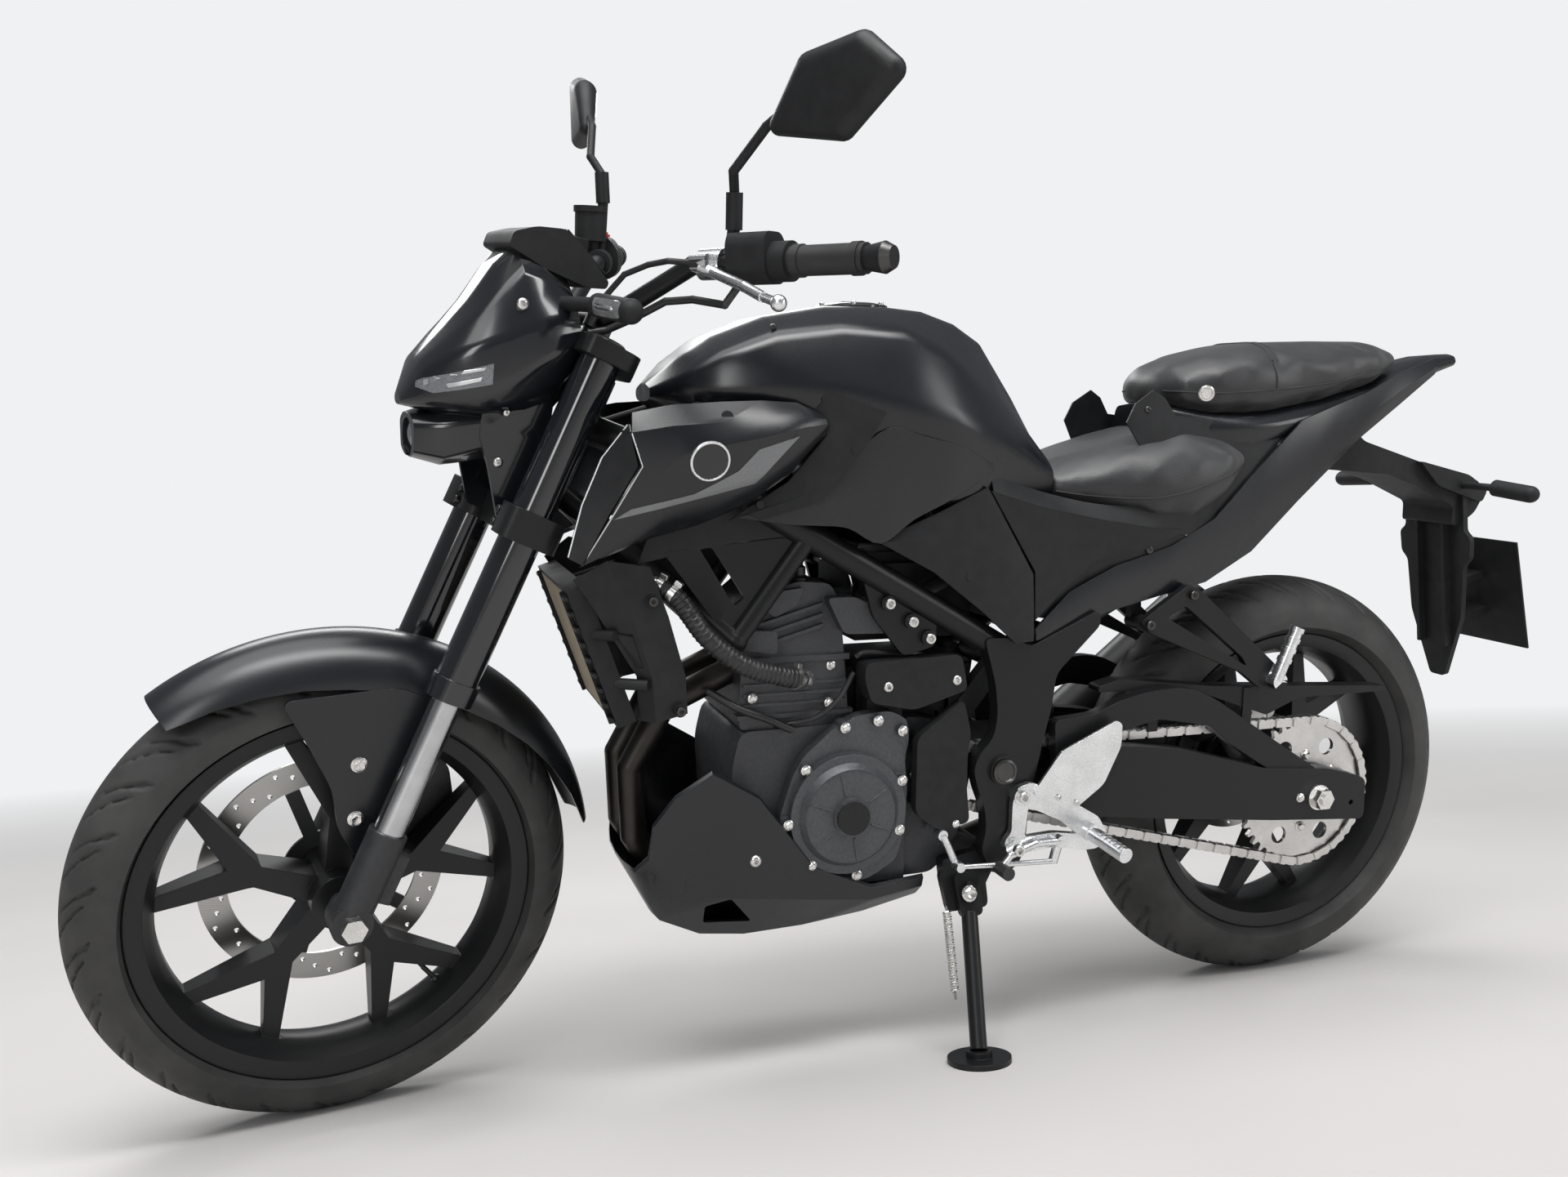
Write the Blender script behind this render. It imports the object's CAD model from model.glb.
from math import atan2, cos, hypot, pi, radians, sin

import bmesh
import bpy
from mathutils import Matrix, Vector
from mathutils.bvhtree import BVHTree


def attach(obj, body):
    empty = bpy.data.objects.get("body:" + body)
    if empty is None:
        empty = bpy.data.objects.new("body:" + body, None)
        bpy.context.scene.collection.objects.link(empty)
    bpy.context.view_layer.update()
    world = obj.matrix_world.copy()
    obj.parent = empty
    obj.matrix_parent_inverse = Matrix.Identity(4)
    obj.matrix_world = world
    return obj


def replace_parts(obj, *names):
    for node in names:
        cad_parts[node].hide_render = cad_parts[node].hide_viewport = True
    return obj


bl_info = {
    "name": "Standard Motorcycle Finishes",
    "version": (1, 0, 0),
    "blender": (4, 5, 0),
    "location": "3D View > Sidebar > Motorcycle",
    "description": "Dresses the packed motorcycle: finishes, tread, cushions, bolts, lenses, stage",
    "category": "Object",
}

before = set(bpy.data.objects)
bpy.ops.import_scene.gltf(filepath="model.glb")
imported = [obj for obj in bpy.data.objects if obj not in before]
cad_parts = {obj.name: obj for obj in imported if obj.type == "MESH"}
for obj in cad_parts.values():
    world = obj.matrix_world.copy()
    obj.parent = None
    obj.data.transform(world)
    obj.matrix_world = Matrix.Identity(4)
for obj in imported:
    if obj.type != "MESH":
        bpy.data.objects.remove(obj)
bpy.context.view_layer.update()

# The parked stance: how the upright machine, drawn in millimetres, stands in the frame
LEAN = radians(12.5)
PITCH = radians(0.1427068)
RAKE = radians(25)
PARKED_TURN = radians(12)
STAND = (
    Matrix.Scale(0.001, 4)
    @ Matrix.Translation((67.2, -248.6, -0.0593))
    @ Matrix.Rotation(PITCH, 4, "Y")
    @ Matrix.Rotation(-LEAN, 4, "X")
)
FRONT_AXLE = Vector((690, 0, 293))
REAR_AXLE = Vector((-690, 0, 314))
STEER_AXIS = Vector((-sin(RAKE), 0, cos(RAKE)))
STEER_FOOT = FRONT_AXLE - 38 * Vector((cos(RAKE), 0, sin(RAKE)))
STEERED = (
    STAND
    @ Matrix.Translation(STEER_FOOT)
    @ Matrix.Rotation(PARKED_TURN, 4, STEER_AXIS)
    @ Matrix.Translation(-STEER_FOOT)
)
FORK = STEERED @ Matrix.Translation(FRONT_AXLE) @ Matrix.Rotation(-RAKE, 4, "Y")
BAR_RISE = Vector((300, 150, 1052))
BAR_TIP = Vector((180, 374, 1068))

# Sizes in millimetres of the upright machine
RIM_LIP = 232.6
TREAD_STEP = 3.1
VALVE_REACH = 199
COIL_STEPS = 240
ROUNDEL = (262, 818)
GENERATOR = Vector((56, 358))
FILLER_X = 20
FILLER_SCREW_RING = 44.5
PROJECTOR = Vector((564, 0, 845))
RADIATOR_MIDDLE = (375, 0, 582)
RADIATOR_TURN = radians(19.6)
FINS = 76
FIN_SPAN = 188
HOSE_RADIUS = 11.8
HOSE_NECK = 11.4
HOSE_RIB_PITCH = 6.5
TRIM_THICK = 2.5
SIDES = (1, -1)

# Sizes in metres, tones and counts
WELD = 0.00002
CUSHION_VOXEL = 0.0055
CUSHION_INSET = 0.002
CLOTH_STEPS = 14
FRONT_CARRIER = 0.114
REAR_CARRIER = 0.077
CARRIER_TONE = (0.02, 0.021, 0.022)
HAZE = (0.87, 0.88, 0.89, 1)
FLOOR_FADE = (2.6, 7.5)
VECTOR_MATH = "ShaderNodeVectorMath"


# Shapes, drawn in millimetres of the upright machine


def fair_line(points, steps=6):
    """Points along a smooth curve through the given ones."""
    p = [Vector(q) for q in points]
    p = [2 * p[0] - p[1]] + p + [2 * p[-1] - p[-2]]
    line = []
    for a, b, c, d in zip(p, p[1:], p[2:], p[3:]):
        square, cube = 2 * a - 5 * b + 4 * c - d, 3 * b - a - 3 * c + d
        for k in range(steps):
            t = k / steps
            line.append(0.5 * (2 * b + (c - a) * t + square * t * t + cube * t**3))
    return line + [p[-2]]


def circle(bm, place, r, side, other, sides, turn=0.0):
    """Ring of vertices round a place."""
    angles = [turn + 2 * pi * k / sides for k in range(sides)]
    return [bm.verts.new(place + r * (cos(a) * side + sin(a) * other)) for a in angles]


def sweep(bm, line, radius, sides=10):
    """Round tube along a line; radius is a number or a function of the distance along it."""
    line = [Vector(q) for q in line]
    run, side, rings = 0.0, None, []
    for i, here in enumerate(line):
        before = line[i - 1] if i else here
        after = line[i + 1] if i + 1 < len(line) else here
        along = (after - before).normalized()
        if side is None:
            side = along.orthogonal().normalized()
        side = (side - along * side.dot(along)).normalized()
        run += (here - before).length
        r = radius(run) if callable(radius) else radius
        rings.append(circle(bm, here, r, side, along.cross(side), sides))
    for a, b in zip(rings, rings[1:]):
        for k in range(sides):
            n = (k + 1) % sides
            bm.faces.new((a[k], a[n], b[n], b[k]))
    bm.faces.new(rings[0][::-1])
    bm.faces.new(rings[-1])


def lathe(bm, place, axis, profile, sides=24, turn=0.0):
    """Turned form: profile lists (radius, height) outward along the axis."""
    axis = Vector(axis).normalized()
    side = axis.orthogonal().normalized()
    other = axis.cross(side)
    rings = []
    for r, h in profile:
        at = Vector(place) + axis * h
        point = [bm.verts.new(at)] if r <= 0 else None
        rings.append(point or circle(bm, at, r, side, other, sides, turn))
    for a, b in zip(rings, rings[1:]):
        for k in range(sides):
            n = (k + 1) % sides
            if len(a) == 1:
                bm.faces.new((a[0], b[n], b[k]))
            elif len(b) == 1:
                bm.faces.new((a[k], a[n], b[0]))
            else:
                bm.faces.new((a[k], a[n], b[n], b[k]))
    if len(rings[0]) > 1:
        bm.faces.new(rings[0][::-1])
    if len(rings[-1]) > 1:
        bm.faces.new(rings[-1])


def flange_bolt(bm, place, axis, r, turn=0.3):
    """Hexagon head on its round flange."""
    lathe(bm, place, axis, [(r * 1.35, -0.6), (r * 1.35, 0.8), (r * 1.1, 1.6), (r, 1.8)], 20)
    head = [(r, 1.0), (r, r * 0.8), (r * 0.84, r * 0.95), (r * 0.5, r * 0.8)]
    lathe(bm, place, axis, head, 6, turn)


def socket_bolt(bm, place, axis, r, turn=0.0):
    """Cap screw with a hexagon socket."""
    h = r * 0.9
    lathe(bm, place, axis, [(r, -0.6), (r, h * 0.85), (r * 0.9, h), (r * 0.62, h)], 20)
    socket = [(r * 0.62, h), (r * 0.56, h * 0.95), (r * 0.56, h * 0.4), (r * 0.1, h * 0.35)]
    lathe(bm, place, axis, socket, 6, turn)


def lens_screw(bm, place, axis, r):
    """Domed screw with a hexagon socket."""
    dome = [(r, -0.8), (r, 0.6), (r * 0.88, r * 0.3), (r * 0.6, r * 0.46), (r * 0.42, r * 0.5)]
    lathe(bm, place, axis, dome, 24)
    lathe(bm, place, axis, [(r * 0.42, r * 0.5), (r * 0.4, r * 0.1), (r * 0.1, r * 0.05)], 6)


def pivot_cap(bm, place, axis, r):
    """Plug over the swingarm pivot."""
    plug = [(r, -1), (r, 3), (r * 0.8, 4.5), (r * 0.74, 3), (r * 0.4, 2.6), (r * 0.1, 2.6)]
    lathe(bm, place, axis, plug, 32)


def block(bm, low, high, place=Matrix.Identity(4), chamfer=0.0):
    """Box with chamfered edges."""
    low, high = Vector(low), Vector(high)
    made = bmesh.ops.create_cube(bm, size=1.0)["verts"]
    for v in made:
        v.co = Vector(low[i] + (v.co[i] + 0.5) * (high[i] - low[i]) for i in range(3))
    if chamfer:
        edges = list(dict.fromkeys(e for v in made for e in v.link_edges))
        cut = bmesh.ops.bevel(bm, geom=edges, offset=chamfer, segments=2, affect="EDGES")
        made = cut["verts"]
    for v in {w for v in made for f in v.link_faces for w in f.verts}:
        v.co = place @ v.co


def put(name, bm, body, finish, place=STAND, smooth=35.0):
    """Turns a drawn form into a piece with a finish that rides on a body."""
    bmesh.ops.remove_doubles(bm, verts=bm.verts, dist=0.0005)
    bmesh.ops.recalc_face_normals(bm, faces=bm.faces)
    mesh = bpy.data.meshes.new(name)
    bm.to_mesh(mesh)
    bm.free()
    mesh.transform(place)
    piece = bpy.data.objects.new(name, mesh)
    bpy.context.scene.collection.objects.link(piece)
    mesh.materials.append(finish_named(finish))
    shade(mesh, smooth)
    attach(piece, body)
    return piece


def shade(mesh, angle):
    """Smooth shading that keeps the edges sharper than the angle."""
    mesh.polygons.foreach_set("use_smooth", [True] * len(mesh.polygons))
    mesh.set_sharp_from_angle(angle=radians(angle))


def tree_of(piece, place=STAND):
    """A piece's surface in the upright machine's millimetres."""
    back = place.inverted()
    corners = [back @ v.co for v in piece.data.vertices]
    return BVHTree.FromPolygons(corners, [list(p.vertices) for p in piece.data.polygons])


def surface_of(node, place=STAND):
    """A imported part's surface in the upright machine's millimetres."""
    return tree_of(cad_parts[node], place)


def sheet_on(bm, tree, outline, side, lift, cell, sink=0.9, look=(0, -1, 0), across=(0, 2)):
    """Thin patch with a given outline, laid on a surface seen along the look direction."""
    patch = bmesh.new()
    a, b = across
    third = 3 - a - b
    look = Vector(look)
    start = -600.0 * look[third]
    corners = []
    for p in outline:
        v = [0.0, 0.0, 0.0]
        v[a], v[b] = p
        corners.append(patch.verts.new(v))
    patch.faces.new(corners)
    for axis in (a, b):
        low = min(v.co[axis] for v in patch.verts)
        high = max(v.co[axis] for v in patch.verts)
        cut = low + cell
        while cut < high:
            point, normal = Vector((0, 0, 0)), Vector((0, 0, 0))
            point[axis], normal[axis] = cut, 1.0
            whole = patch.verts[:] + patch.edges[:] + patch.faces[:]
            bmesh.ops.bisect_plane(patch, geom=whole, plane_co=point, plane_no=normal)
            cut += cell
    bmesh.ops.triangulate(patch, faces=patch.faces[:])
    hits = {}
    for v in patch.verts:
        origin = v.co.copy()
        origin[third] = start
        if third == 1:
            origin[1] *= side
        found = tree.ray_cast(origin, look * (side if third == 1 else 1))
        if found[0] is not None:
            hits[v] = found[0] + found[1] * lift, found[0] - found[1] * sink
    top = {v: bm.verts.new(h[0]) for v, h in hits.items()}
    under = {v: bm.verts.new(h[1]) for v, h in hits.items()}
    kept = [f for f in patch.faces if all(v in hits for v in f.verts)]
    edges = {}
    for f in kept:
        loop = list(f.verts)
        bm.faces.new([top[v] for v in loop])
        bm.faces.new([under[v] for v in loop[::-1]])
        edges.update(dict.fromkeys(zip(loop, loop[1:] + loop[:1])))
    for p, q in edges:
        if (q, p) not in edges:
            bm.faces.new((top[q], top[p], under[p], under[q]))
    loose = [v for v in bm.verts if not v.link_faces]
    bmesh.ops.delete(bm, geom=loose, context="VERTS")
    patch.free()


def mirrored(points):
    """The same points on the machine's left side, then on its right."""
    for s in SIDES:
        yield s, [Vector((x, y * s, z)) for x, y, z in points]


def plate(bm, outline, thick, side):
    """Thin plate with the given outline, its thickness laid inward from the machine's side."""
    front = [bm.verts.new(p) for p in outline]
    back = [bm.verts.new(p - Vector((0, thick * side, 0))) for p in outline]
    faces = [bm.faces.new(front), bm.faces.new(back[::-1])]
    for k in range(len(front)):
        n = (k + 1) % len(front)
        bm.faces.new((front[n], front[k], back[k], back[n]))
    bmesh.ops.triangulate(bm, faces=faces)


def fair_sheet(bm, rows, thick, side, steps=4):
    """Smooth thin skin through rows of points, its thickness laid inward."""
    rows = [fair_line(row, steps) for row in rows]
    lines = [fair_line(column, steps) for column in zip(*rows)]
    front = [[bm.verts.new(p) for p in line] for line in lines]
    back = [[bm.verts.new(p - Vector((0, thick * side, 0))) for p in line] for line in lines]
    for sheet in (front, back):
        for a, b in zip(sheet, sheet[1:]):
            for k in range(len(a) - 1):
                bm.faces.new((a[k], a[k + 1], b[k + 1], b[k]))
    edges = [(front[0], back[0]), (front[-1], back[-1])]
    edges += [([line[i] for line in front], [line[i] for line in back]) for i in (0, -1)]
    for outer, inner in edges:
        for k in range(len(outer) - 1):
            bm.faces.new((outer[k], outer[k + 1], inner[k + 1], inner[k]))


def onto(tree, place, look):
    """Where a ray from outside meets a surface, or None."""
    look = Vector(look)
    return tree.ray_cast(Vector(place) - look * 500, look)[0]


def near(points, reach):
    """Test for places within reach of a line through the points."""
    line = [Vector(q) for q in points]

    def inside(p):
        for a, b in zip(line, line[1:]):
            t = max(0.0, min(1.0, (p - a).dot(b - a) / (b - a).length_squared))
            if (a + (b - a) * t - p).length < reach:
                return True
        return False

    return inside


def zone(node, finish, inside, place=STAND):
    """Another finish for the faces of a part whose middle lies in a region."""
    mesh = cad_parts[node].data
    back = place.inverted()
    index = len(mesh.materials)
    mesh.materials.append(finish_named(finish))
    for face in mesh.polygons:
        if inside(back @ face.center):
            face.material_index = index


# Finishes


def new_finish(name):
    """New material with its nodes and its shader."""
    material = bpy.data.materials.new(name)
    material.use_nodes = True
    tree = material.node_tree
    return material, tree, tree.nodes["Principled BSDF"]


def feed(tree, node, values):
    """Sets a node's inputs and settings; a socket given as a value is linked."""
    for key, value in values.items():
        if isinstance(value, bpy.types.NodeSocket):
            tree.links.new(value, node.inputs[key])
        elif isinstance(key, int) or key in node.inputs:
            node.inputs[key].default_value = value
        else:
            setattr(node, key.lower(), value)
    return node


def add(tree, kind, *inputs, **values):
    """New shader node, its settings by name and its inputs by name or in order."""
    return feed(tree, tree.nodes.new(kind), {**values, **dict(enumerate(inputs))})


def noise(tree, scale, detail=3.0, stretch=None):
    """Cloudy texture laid in the piece's own space."""
    source = add(tree, "ShaderNodeTexCoord").outputs["Object"]
    if stretch:
        source = add(tree, "ShaderNodeMapping", source, Scale=stretch).outputs["Vector"]
    texture = add(tree, "ShaderNodeTexNoise", Vector=source, Scale=scale, Detail=detail)
    return texture.outputs["Fac"]


def cells(tree, scale, feature="F1"):
    """Pebbled texture laid in the piece's own space."""
    source = add(tree, "ShaderNodeTexCoord").outputs["Object"]
    texture = add(tree, "ShaderNodeTexVoronoi", feature=feature, Vector=source, Scale=scale)
    return texture.outputs["Distance"]


def spread(tree, source, low, high, start=0.3, end=0.7):
    """Maps a texture onto a range of numbers."""
    return add(tree, "ShaderNodeMapRange", source, start, end, low, high).outputs["Result"]


def tint(tree, source, low, high, start=0.3, end=0.7):
    """Maps a texture onto a range of colours."""
    ramp = add(tree, "ShaderNodeValToRGB", source)
    for stop, position, colour in zip(ramp.color_ramp.elements, (start, end), (low, high)):
        stop.position, stop.color = position, (*colour, 1)
    return ramp.outputs["Color"]


def relief(tree, shader, layers, rounding=0.0):
    """Bump layers of (height source, distance in metres, strength), over rounded edges."""
    last = None
    if rounding:
        last = add(tree, "ShaderNodeBevel", samples=4, Radius=rounding).outputs["Normal"]
    for source, distance, strength in layers:
        bump = add(tree, "ShaderNodeBump", Distance=distance, Strength=strength, Height=source)
        if last:
            tree.links.new(last, bump.inputs["Normal"])
        last = bump.outputs["Normal"]
    tree.links.new(last, shader.inputs["Normal"])


def scaled(colour, k):
    """A lighter or darker shade of a colour."""
    return tuple(min(1.0, c * k) for c in colour[:3])


def surface(name, shades, gloss, bumps, rounding=0.0, settings=None):
    """Finish from noise: two shades of a colour, two roughnesses and layers of bump."""
    material, tree, shader = new_finish(name)
    colour, low, high, scale, detail, *window = shades
    drift = noise(tree, scale, detail)
    tone = tint(tree, drift, scaled(colour, low), scaled(colour, high), *window)
    low, high, *grain = gloss
    rough = spread(tree, noise(tree, *grain), low, high)
    feed(tree, shader, {"Base Color": tone, "Roughness": rough, **(settings or {})})
    layers = [(make(tree, *grain), depth, strength) for make, grain, depth, strength in bumps]
    relief(tree, shader, layers, rounding)
    return material


def painted(name, colour, rough, rounding=0.0008, sparkle=0.06, coat=0.0, peel=0.05, sheen=0.5):
    """Sprayed paint: faint flake, orange peel and slightly uneven gloss."""
    shades, gloss = (colour, 0.88, 1.2, 900, 2), (rough - 0.03, rough + 0.05, 7, 4)
    bumps = [(noise, (260, 2), 0.0002, peel), (noise, (2600, 1), 0.00005, sparkle)]
    settings = {"Specular IOR Level": sheen, "Coat Weight": coat, "Coat Roughness": 0.06}
    return surface(name, shades, gloss, bumps, rounding, settings)


def moulded(name, colour, rough, grain=900, depth=0.25):
    """Moulded resin with a fine stippled grain."""
    shades, gloss = (colour, 0.85, 1.3, 60, 5), (rough - 0.05, rough + 0.08, 18, 4)
    bumps = [(cells, (grain,), 0.0002, depth)]
    return surface(name, shades, gloss, bumps, 0.0006, {"Specular IOR Level": 0.3})


def cast(name, colour, rough, metal, rounding=0.0012):
    """Sand-cast metal under a thin coat: pebbled, with darker hollows."""
    shades, gloss = (colour, 0.84, 1.16, 240, 5), (rough - 0.08, rough + 0.1, 120, 5)
    bumps = [(noise, (700, 4), 0.0004, 0.35), (noise, (110, 3), 0.0004, 0.05)]
    return surface(name, shades, gloss, bumps, rounding, {"Metallic": metal})


def machined(name, colour, rough, stretch=(1, 1, 1), rounding=0.0005):
    """Bare metal with fine tool marks and a little staining."""
    shades = (colour, 0.88, 1.04, 35, 6)
    gloss = (rough - 0.06, rough + 0.12, 900, 3, stretch)
    bumps = [(noise, (1300, 3, stretch), 0.00008, 0.25)]
    return surface(name, shades, gloss, bumps, rounding, {"Metallic": 1.0})


def rubbery(name, colour, rough, scale=260, depth=0.3, dust=1.5):
    """Rubber with dusty patches and a fine matt skin."""
    shades, gloss = (colour, 0.8, dust, 14, 6, 0.35, 0.75), (rough - 0.07, rough + 0.1, 40, 5)
    return surface(name, shades, gloss, [(noise, (scale, 5), 0.0003, depth)])


def grained_vinyl(name, colour, rough, scale=620):
    """Seat cover: pebbled vinyl grain with a soft sheen and worn crowns."""
    shades, gloss = (colour, 0.85, 1.35, 9, 5), (rough - 0.05, rough + 0.07, 5, 3)
    bumps = [(cells, (scale, "SMOOTH_F1"), 0.0004, 0.42), (noise, (55, 4), 0.0008, 0.1)]
    settings = {"Sheen Weight": 0.12, "Sheen Roughness": 0.5}
    return surface(name, shades, gloss, bumps, settings=settings)


def lens(name, colour, rough=0.04, clear=0.9, depth=0.1):
    """Moulded lens with fine prisms inside it."""
    material, tree, shader = new_finish(name)
    tone = tint(tree, cells(tree, 380), scaled(colour, 0.75), scaled(colour, 1.1))
    settings = {"Base Color": tone, "Roughness": rough, "Transmission Weight": clear, "IOR": 1.5}
    feed(tree, shader, settings)
    relief(tree, shader, [(cells(tree, 300), 0.0003, depth)])
    return material


def ring_painted(name, centre, axis, radius, outer, rough):
    """Disc metal outside a radius, painted carrier inside it."""
    material, tree, shader = new_finish(name)
    place = add(tree, "ShaderNodeTexCoord").outputs["Object"]
    reach = add(tree, VECTOR_MATH, place, centre, operation="SUBTRACT").outputs["Vector"]
    along = add(tree, VECTOR_MATH, reach, axis, operation="DOT_PRODUCT").outputs["Value"]
    shift = add(tree, VECTOR_MATH, axis, operation="SCALE", Scale=along).outputs["Vector"]
    flat = add(tree, VECTOR_MATH, reach, shift, operation="SUBTRACT").outputs["Vector"]
    size = add(tree, VECTOR_MATH, flat, operation="LENGTH").outputs["Value"]
    band = spread(tree, size, 0.0, 1.0, radius - 0.0006, radius + 0.0006)
    rings = add(tree, "ShaderNodeTexWave", flat, wave_type="RINGS", Scale=160.0, Distortion=0.4)
    rings = rings.outputs["Fac"]
    metal = tint(tree, rings, scaled(outer, 0.82), scaled(outer, 1.05), 0.0, 1.0)
    mix = add(tree, "ShaderNodeMix", data_type="RGBA", Factor=band)
    feed(tree, mix, {6: (*CARRIER_TONE, 1), 7: metal})
    gloss = spread(tree, band, 0.45, rough, 0.0, 1.0)
    feed(tree, shader, {"Base Color": mix.outputs[2], "Metallic": band, "Roughness": gloss})
    relief(tree, shader, [(rings, 0.00004, 0.2)], 0.0004)
    return material


FINISHES = {}


def finish_named(name):
    """The finish of that name, made once with the colours of the panel."""
    if name in FINISHES:
        return FINISHES[name]
    tones = bpy.context.scene.motorcycle_tones
    front_axis = (STEERED.to_3x3() @ Vector((0, 1, 0))).normalized()
    rear_axis = (STAND.to_3x3() @ Vector((0, 1, 0))).normalized()
    front_middle, rear_middle = STEERED @ FRONT_AXLE, STAND @ REAR_AXLE
    steel = tuple(tones.steel)
    disc = scaled(steel, 0.62)
    powder = {"rounding": 0.0015}
    recipes = {
        "tank_paint": (painted, tones.body_paint, 0.27, {"sparkle": 0.1}),
        "visor_paint": (painted, tones.body_paint, 0.16, {"coat": 0.3}),
        "tube_gloss": (painted, tones.body_paint, 0.12, {"coat": 0.6, "peel": 0.03}),
        "frame_paint": (painted, tones.frame_paint, 0.38, {**powder, "peel": 0.12, "sheen": 0.3}),
        "rim_paint": (painted, tones.rim_paint, 0.36, {**powder, "peel": 0.1, "sheen": 0.35}),
        "side_resin": (moulded, tones.resin, 0.5, 1500, 0.12),
        "grained_resin": (moulded, tones.resin, 0.6, 800, 0.35),
        "engine_casting": (cast, tones.engine, 0.5, 0.35),
        "cover_casting": (cast, scaled(tones.engine, 1.5), 0.42, 0.5),
        "caliper_casting": (cast, scaled(tones.engine, 0.6), 0.45, 0.3, 0.0008),
        "polished_alloy": (machined, tones.alloy, 0.26),
        "dull_alloy": (machined, scaled(tones.alloy, 0.8), 0.42),
        "bolt_steel": (machined, steel, 0.24, {"rounding": 0.0002}),
        "dark_bolt": (machined, scaled(steel, 0.12), 0.34, {"rounding": 0.0002}),
        "chain_steel": (machined, scaled(steel, 0.85), 0.3, {"rounding": 0.0003}),
        "fork_chrome": (machined, (0.52, 0.53, 0.54), 0.12, (1, 1, 20)),
        "tyre_rubber": (rubbery, tones.tyre, 0.62, {"dust": 1.9}),
        "hose_rubber": (rubbery, (0.014, 0.014, 0.015), 0.4, 500, 0.2),
        "grip_rubber": (rubbery, (0.016, 0.016, 0.017), 0.55, 900, 0.3),
        "seat_vinyl": (grained_vinyl, tones.seat, 0.42),
        "seat_thread": (rubbery, scaled(tones.seat, 1.4), 0.6, 1500, 0.5),
        "red_lens": (lens, (0.5, 0.012, 0.01), 0.08, 0.35),
        "clear_lens": (lens, (0.86, 0.88, 0.9), 0.05, 0.85),
        "lamp_glass": (lens, (0.5, 0.52, 0.55), 0.03, 0.7, 0.03),
        "reflector": (machined, (0.8, 0.81, 0.82), 0.1),
        "amber_lens": (lens, (0.8, 0.3, 0.03), 0.08, 0.5),
        "mirror_glass": (machined, (0.88, 0.9, 0.91), 0.03, {"rounding": 0.0}),
        "screen_glass": (painted, (0.006, 0.007, 0.008), 0.05, {"coat": 1.0, "peel": 0.0}),
        "stripe_grey": (painted, tones.stripe, 0.3, {"rounding": 0.0}),
        "core_fins": (machined, (0.5, 0.44, 0.34), 0.5, (1, 1, 6)),
        "burnt_steel": (machined, (0.05, 0.046, 0.042), 0.4),
        "kill_red": (painted, (0.45, 0.015, 0.01), 0.35),
        "front_disc": (ring_painted, front_middle, front_axis, FRONT_CARRIER, disc, 0.3),
        "rear_disc": (ring_painted, rear_middle, rear_axis, REAR_CARRIER, disc, 0.3),
    }
    make, *values = recipes[name]
    options = values.pop() if isinstance(values[-1], dict) else {}
    FINISHES[name] = make(name, *values, **options)
    return FINISHES[name]


NODE_FINISH = {
    "frame_paint": "main_frame pivot_plates seat_rails swingarm side_stand passenger_hangers "
    "rear_shock exhaust triple_clamps handlebar",
    "rim_paint": "front_rim rear_rim",
    "tank_paint": "fuel_tank tank_scoops tail_cowl belly_pan front_fender",
    "visor_paint": "nose_cowl",
    "tube_gloss": "fork_outers",
    "fork_chrome": "fork_inners",
    "side_resin": "side_covers scoop_intakes radiator_shrouds mirrors",
    "grained_resin": "sprocket_cover plate_hanger controls radiator",
    "engine_casting": "engine_cases cylinder_head",
    "cover_casting": "engine_covers",
    "caliper_casting": "front_caliper rear_caliper",
    "polished_alloy": "foot_hangers",
    "chain_steel": "chain rear_sprocket",
    "front_disc": "front_disc",
    "rear_disc": "rear_disc",
    "tyre_rubber": "front_tyre rear_tyre",
    "hose_rubber": "coolant_hose",
    "seat_vinyl": "rider_seat passenger_seat",
    "red_lens": "tail_lamp",
    "lamp_glass": "front_lamps",
}


def swatch(name, description, default):
    """Colour of the panel."""
    return bpy.props.FloatVectorProperty(
        name=name, description=description, default=default, subtype="COLOR", min=0, max=1
    )


def measure(name, description, default, low, high, unit="LENGTH"):
    """Number of the panel, with its limits."""
    return bpy.props.FloatProperty(
        name=name, description=description, default=default, min=low, max=high, unit=unit
    )


class MotorcycleTones(bpy.types.PropertyGroup):
    body_paint: swatch(
        "Body paint", "Satin paint of the tank, scoops, tail and fender", (0.0065, 0.0075, 0.0095)
    )
    frame_paint: swatch(
        "Frame paint", "Powder coat of the tube frame and swingarm", (0.0075, 0.0078, 0.0085)
    )
    rim_paint: swatch("Rim paint", "Coat of both cast wheels", (0.0075, 0.0078, 0.0085))
    resin: swatch("Bare resin", "Unpainted covers and ducts", (0.0105, 0.011, 0.012))
    engine: swatch("Engine coat", "Dark grey of the engine castings", (0.05, 0.052, 0.056))
    seat: swatch("Seat cover", "Vinyl of both cushions", (0.012, 0.0125, 0.0138))
    stripe: swatch("Stripe", "Grey stripe along each scoop", (0.16, 0.165, 0.17))
    tyre: swatch("Tyre rubber", "Rubber of both tyres", (0.022, 0.0215, 0.021))
    alloy: swatch("Bright alloy", "Foot rest hangers, levers and heel plates", (0.78, 0.79, 0.8))
    steel: swatch("Steel", "Bolts, discs and chain", (0.72, 0.71, 0.69))


class MotorcycleSizes(bpy.types.PropertyGroup):
    tread_depth: measure("Tread depth", "Depth of the tyre grooves", 0.0035, 0.001, 0.006)
    groove_width: measure("Groove width", "Width of the tyre grooves", 0.0052, 0.002, 0.01)
    cushion_swell: measure(
        "Cushion swell", "How far the cushions may swell past their solids", 0.006, 0.0, 0.01
    )
    hose_rib: measure("Hose rib", "Height of the ribs of the coolant hose", 0.0012, 0.0, 0.003)
    lamp_power: measure(
        "Softbox power", "Power of the large softbox over the machine", 70.0, 1.0, 2000.0, "POWER"
    )


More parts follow.
